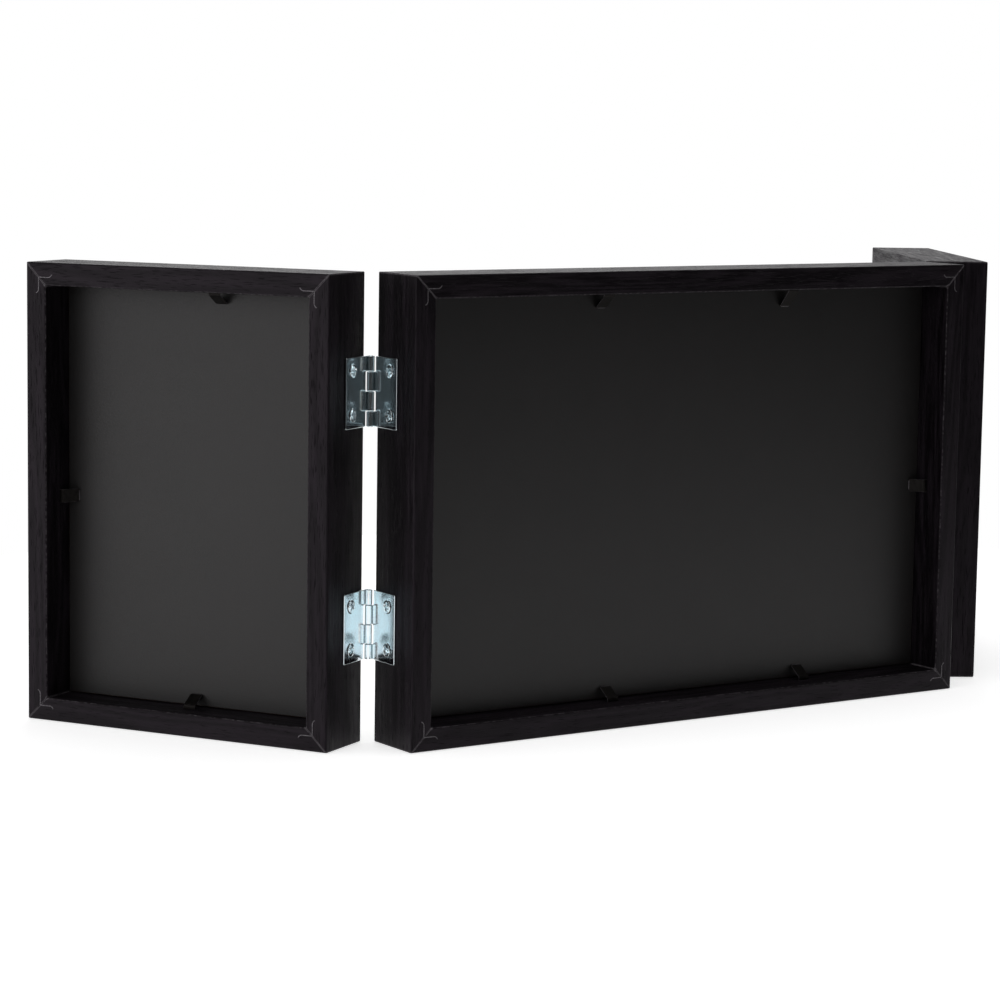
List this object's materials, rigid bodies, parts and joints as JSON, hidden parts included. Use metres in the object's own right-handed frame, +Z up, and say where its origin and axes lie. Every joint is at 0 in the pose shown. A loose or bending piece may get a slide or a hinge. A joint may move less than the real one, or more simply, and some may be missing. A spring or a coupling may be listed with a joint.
{
  "type": "trifold photo frame",
  "caption": "Black wooden box frame in three hinged panels: a wide centre and two narrow wings that fold over its front.",
  "frame": {"origin": "middle of the centre panel's underside, half way through its depth, on the surface it stands on", "axes": "+X along the centre panel's width, +Y out of its open back, +Z up; the pictures face -Y"},
  "size_m": [0.5152, 0.1629, 0.2006],
  "materials": {
    "stained_wood": "black stain, open grain, satin",
    "hardboard": "dark grey, matt",
    "glazing": "clear",
    "plated_steel": "bright plated, fine brushed",
    "tab_steel": "dark, satin"
  },
  "bodies": {
    "centre_panel": {"centre_rail_top": "stained_wood", "centre_rail_bottom": "stained_wood", "centre_rail_left": "stained_wood", "centre_rail_right": "stained_wood", "centre_glass": "glazing", "centre_backing_board": "hardboard", "centre_tab_top_left": "tab_steel", "centre_tab_top_right": "tab_steel", "centre_tab_bottom_left": "tab_steel", "centre_tab_bottom_right": "tab_steel", "centre_tab_left": "tab_steel", "centre_tab_right": "tab_steel", "right_top_hinge_pin": "plated_steel", "right_top_hinge_centre_leaf": "plated_steel", "right_top_hinge_centre_screw_upper": "plated_steel", "right_top_hinge_centre_screw_lower": "plated_steel", "right_bottom_hinge_pin": "plated_steel", "right_bottom_hinge_centre_leaf": "plated_steel", "right_bottom_hinge_centre_screw_upper": "plated_steel", "right_bottom_hinge_centre_screw_lower": "plated_steel", "left_top_hinge_pin": "plated_steel", "left_top_hinge_centre_leaf": "plated_steel", "left_top_hinge_centre_screw_upper": "plated_steel", "left_top_hinge_centre_screw_lower": "plated_steel", "left_bottom_hinge_pin": "plated_steel", "left_bottom_hinge_centre_leaf": "plated_steel", "left_bottom_hinge_centre_screw_upper": "plated_steel", "left_bottom_hinge_centre_screw_lower": "plated_steel"},
    "right_wing": {"right_wing_rail_top": "stained_wood", "right_wing_rail_bottom": "stained_wood", "right_wing_rail_left": "stained_wood", "right_wing_rail_right": "stained_wood", "right_wing_glass": "glazing", "right_wing_backing_board": "hardboard", "right_wing_tab_top": "tab_steel", "right_wing_tab_bottom": "tab_steel", "right_wing_tab_left": "tab_steel", "right_wing_tab_right": "tab_steel", "right_top_hinge_wing_leaf": "plated_steel", "right_top_hinge_wing_screw_upper": "plated_steel", "right_top_hinge_wing_screw_lower": "plated_steel", "right_bottom_hinge_wing_leaf": "plated_steel", "right_bottom_hinge_wing_screw_upper": "plated_steel", "right_bottom_hinge_wing_screw_lower": "plated_steel"},
    "left_wing": {"left_wing_rail_top": "stained_wood", "left_wing_rail_bottom": "stained_wood", "left_wing_rail_left": "stained_wood", "left_wing_rail_right": "stained_wood", "left_wing_glass": "glazing", "left_wing_backing_board": "hardboard", "left_wing_tab_top": "tab_steel", "left_wing_tab_bottom": "tab_steel", "left_wing_tab_left": "tab_steel", "left_wing_tab_right": "tab_steel", "left_top_hinge_wing_leaf": "plated_steel", "left_top_hinge_wing_screw_upper": "plated_steel", "left_top_hinge_wing_screw_lower": "plated_steel", "left_bottom_hinge_wing_leaf": "plated_steel", "left_bottom_hinge_wing_screw_upper": "plated_steel", "left_bottom_hinge_wing_screw_lower": "plated_steel"}
  },
  "joints": [
    {"name": "right_wing_fold", "type": "hinge", "parent": "centre_panel", "child": "right_wing", "pos_m": [0.1526, -0.0176, 0.1003], "axis": [0, 0, -1], "range_deg": [-60, 120]},
    {"name": "left_wing_fold", "type": "hinge", "parent": "centre_panel", "child": "left_wing", "pos_m": [-0.1526, -0.0176, 0.1003], "axis": [0, 0, 1], "range_deg": [-59, 121]}
  ]
}
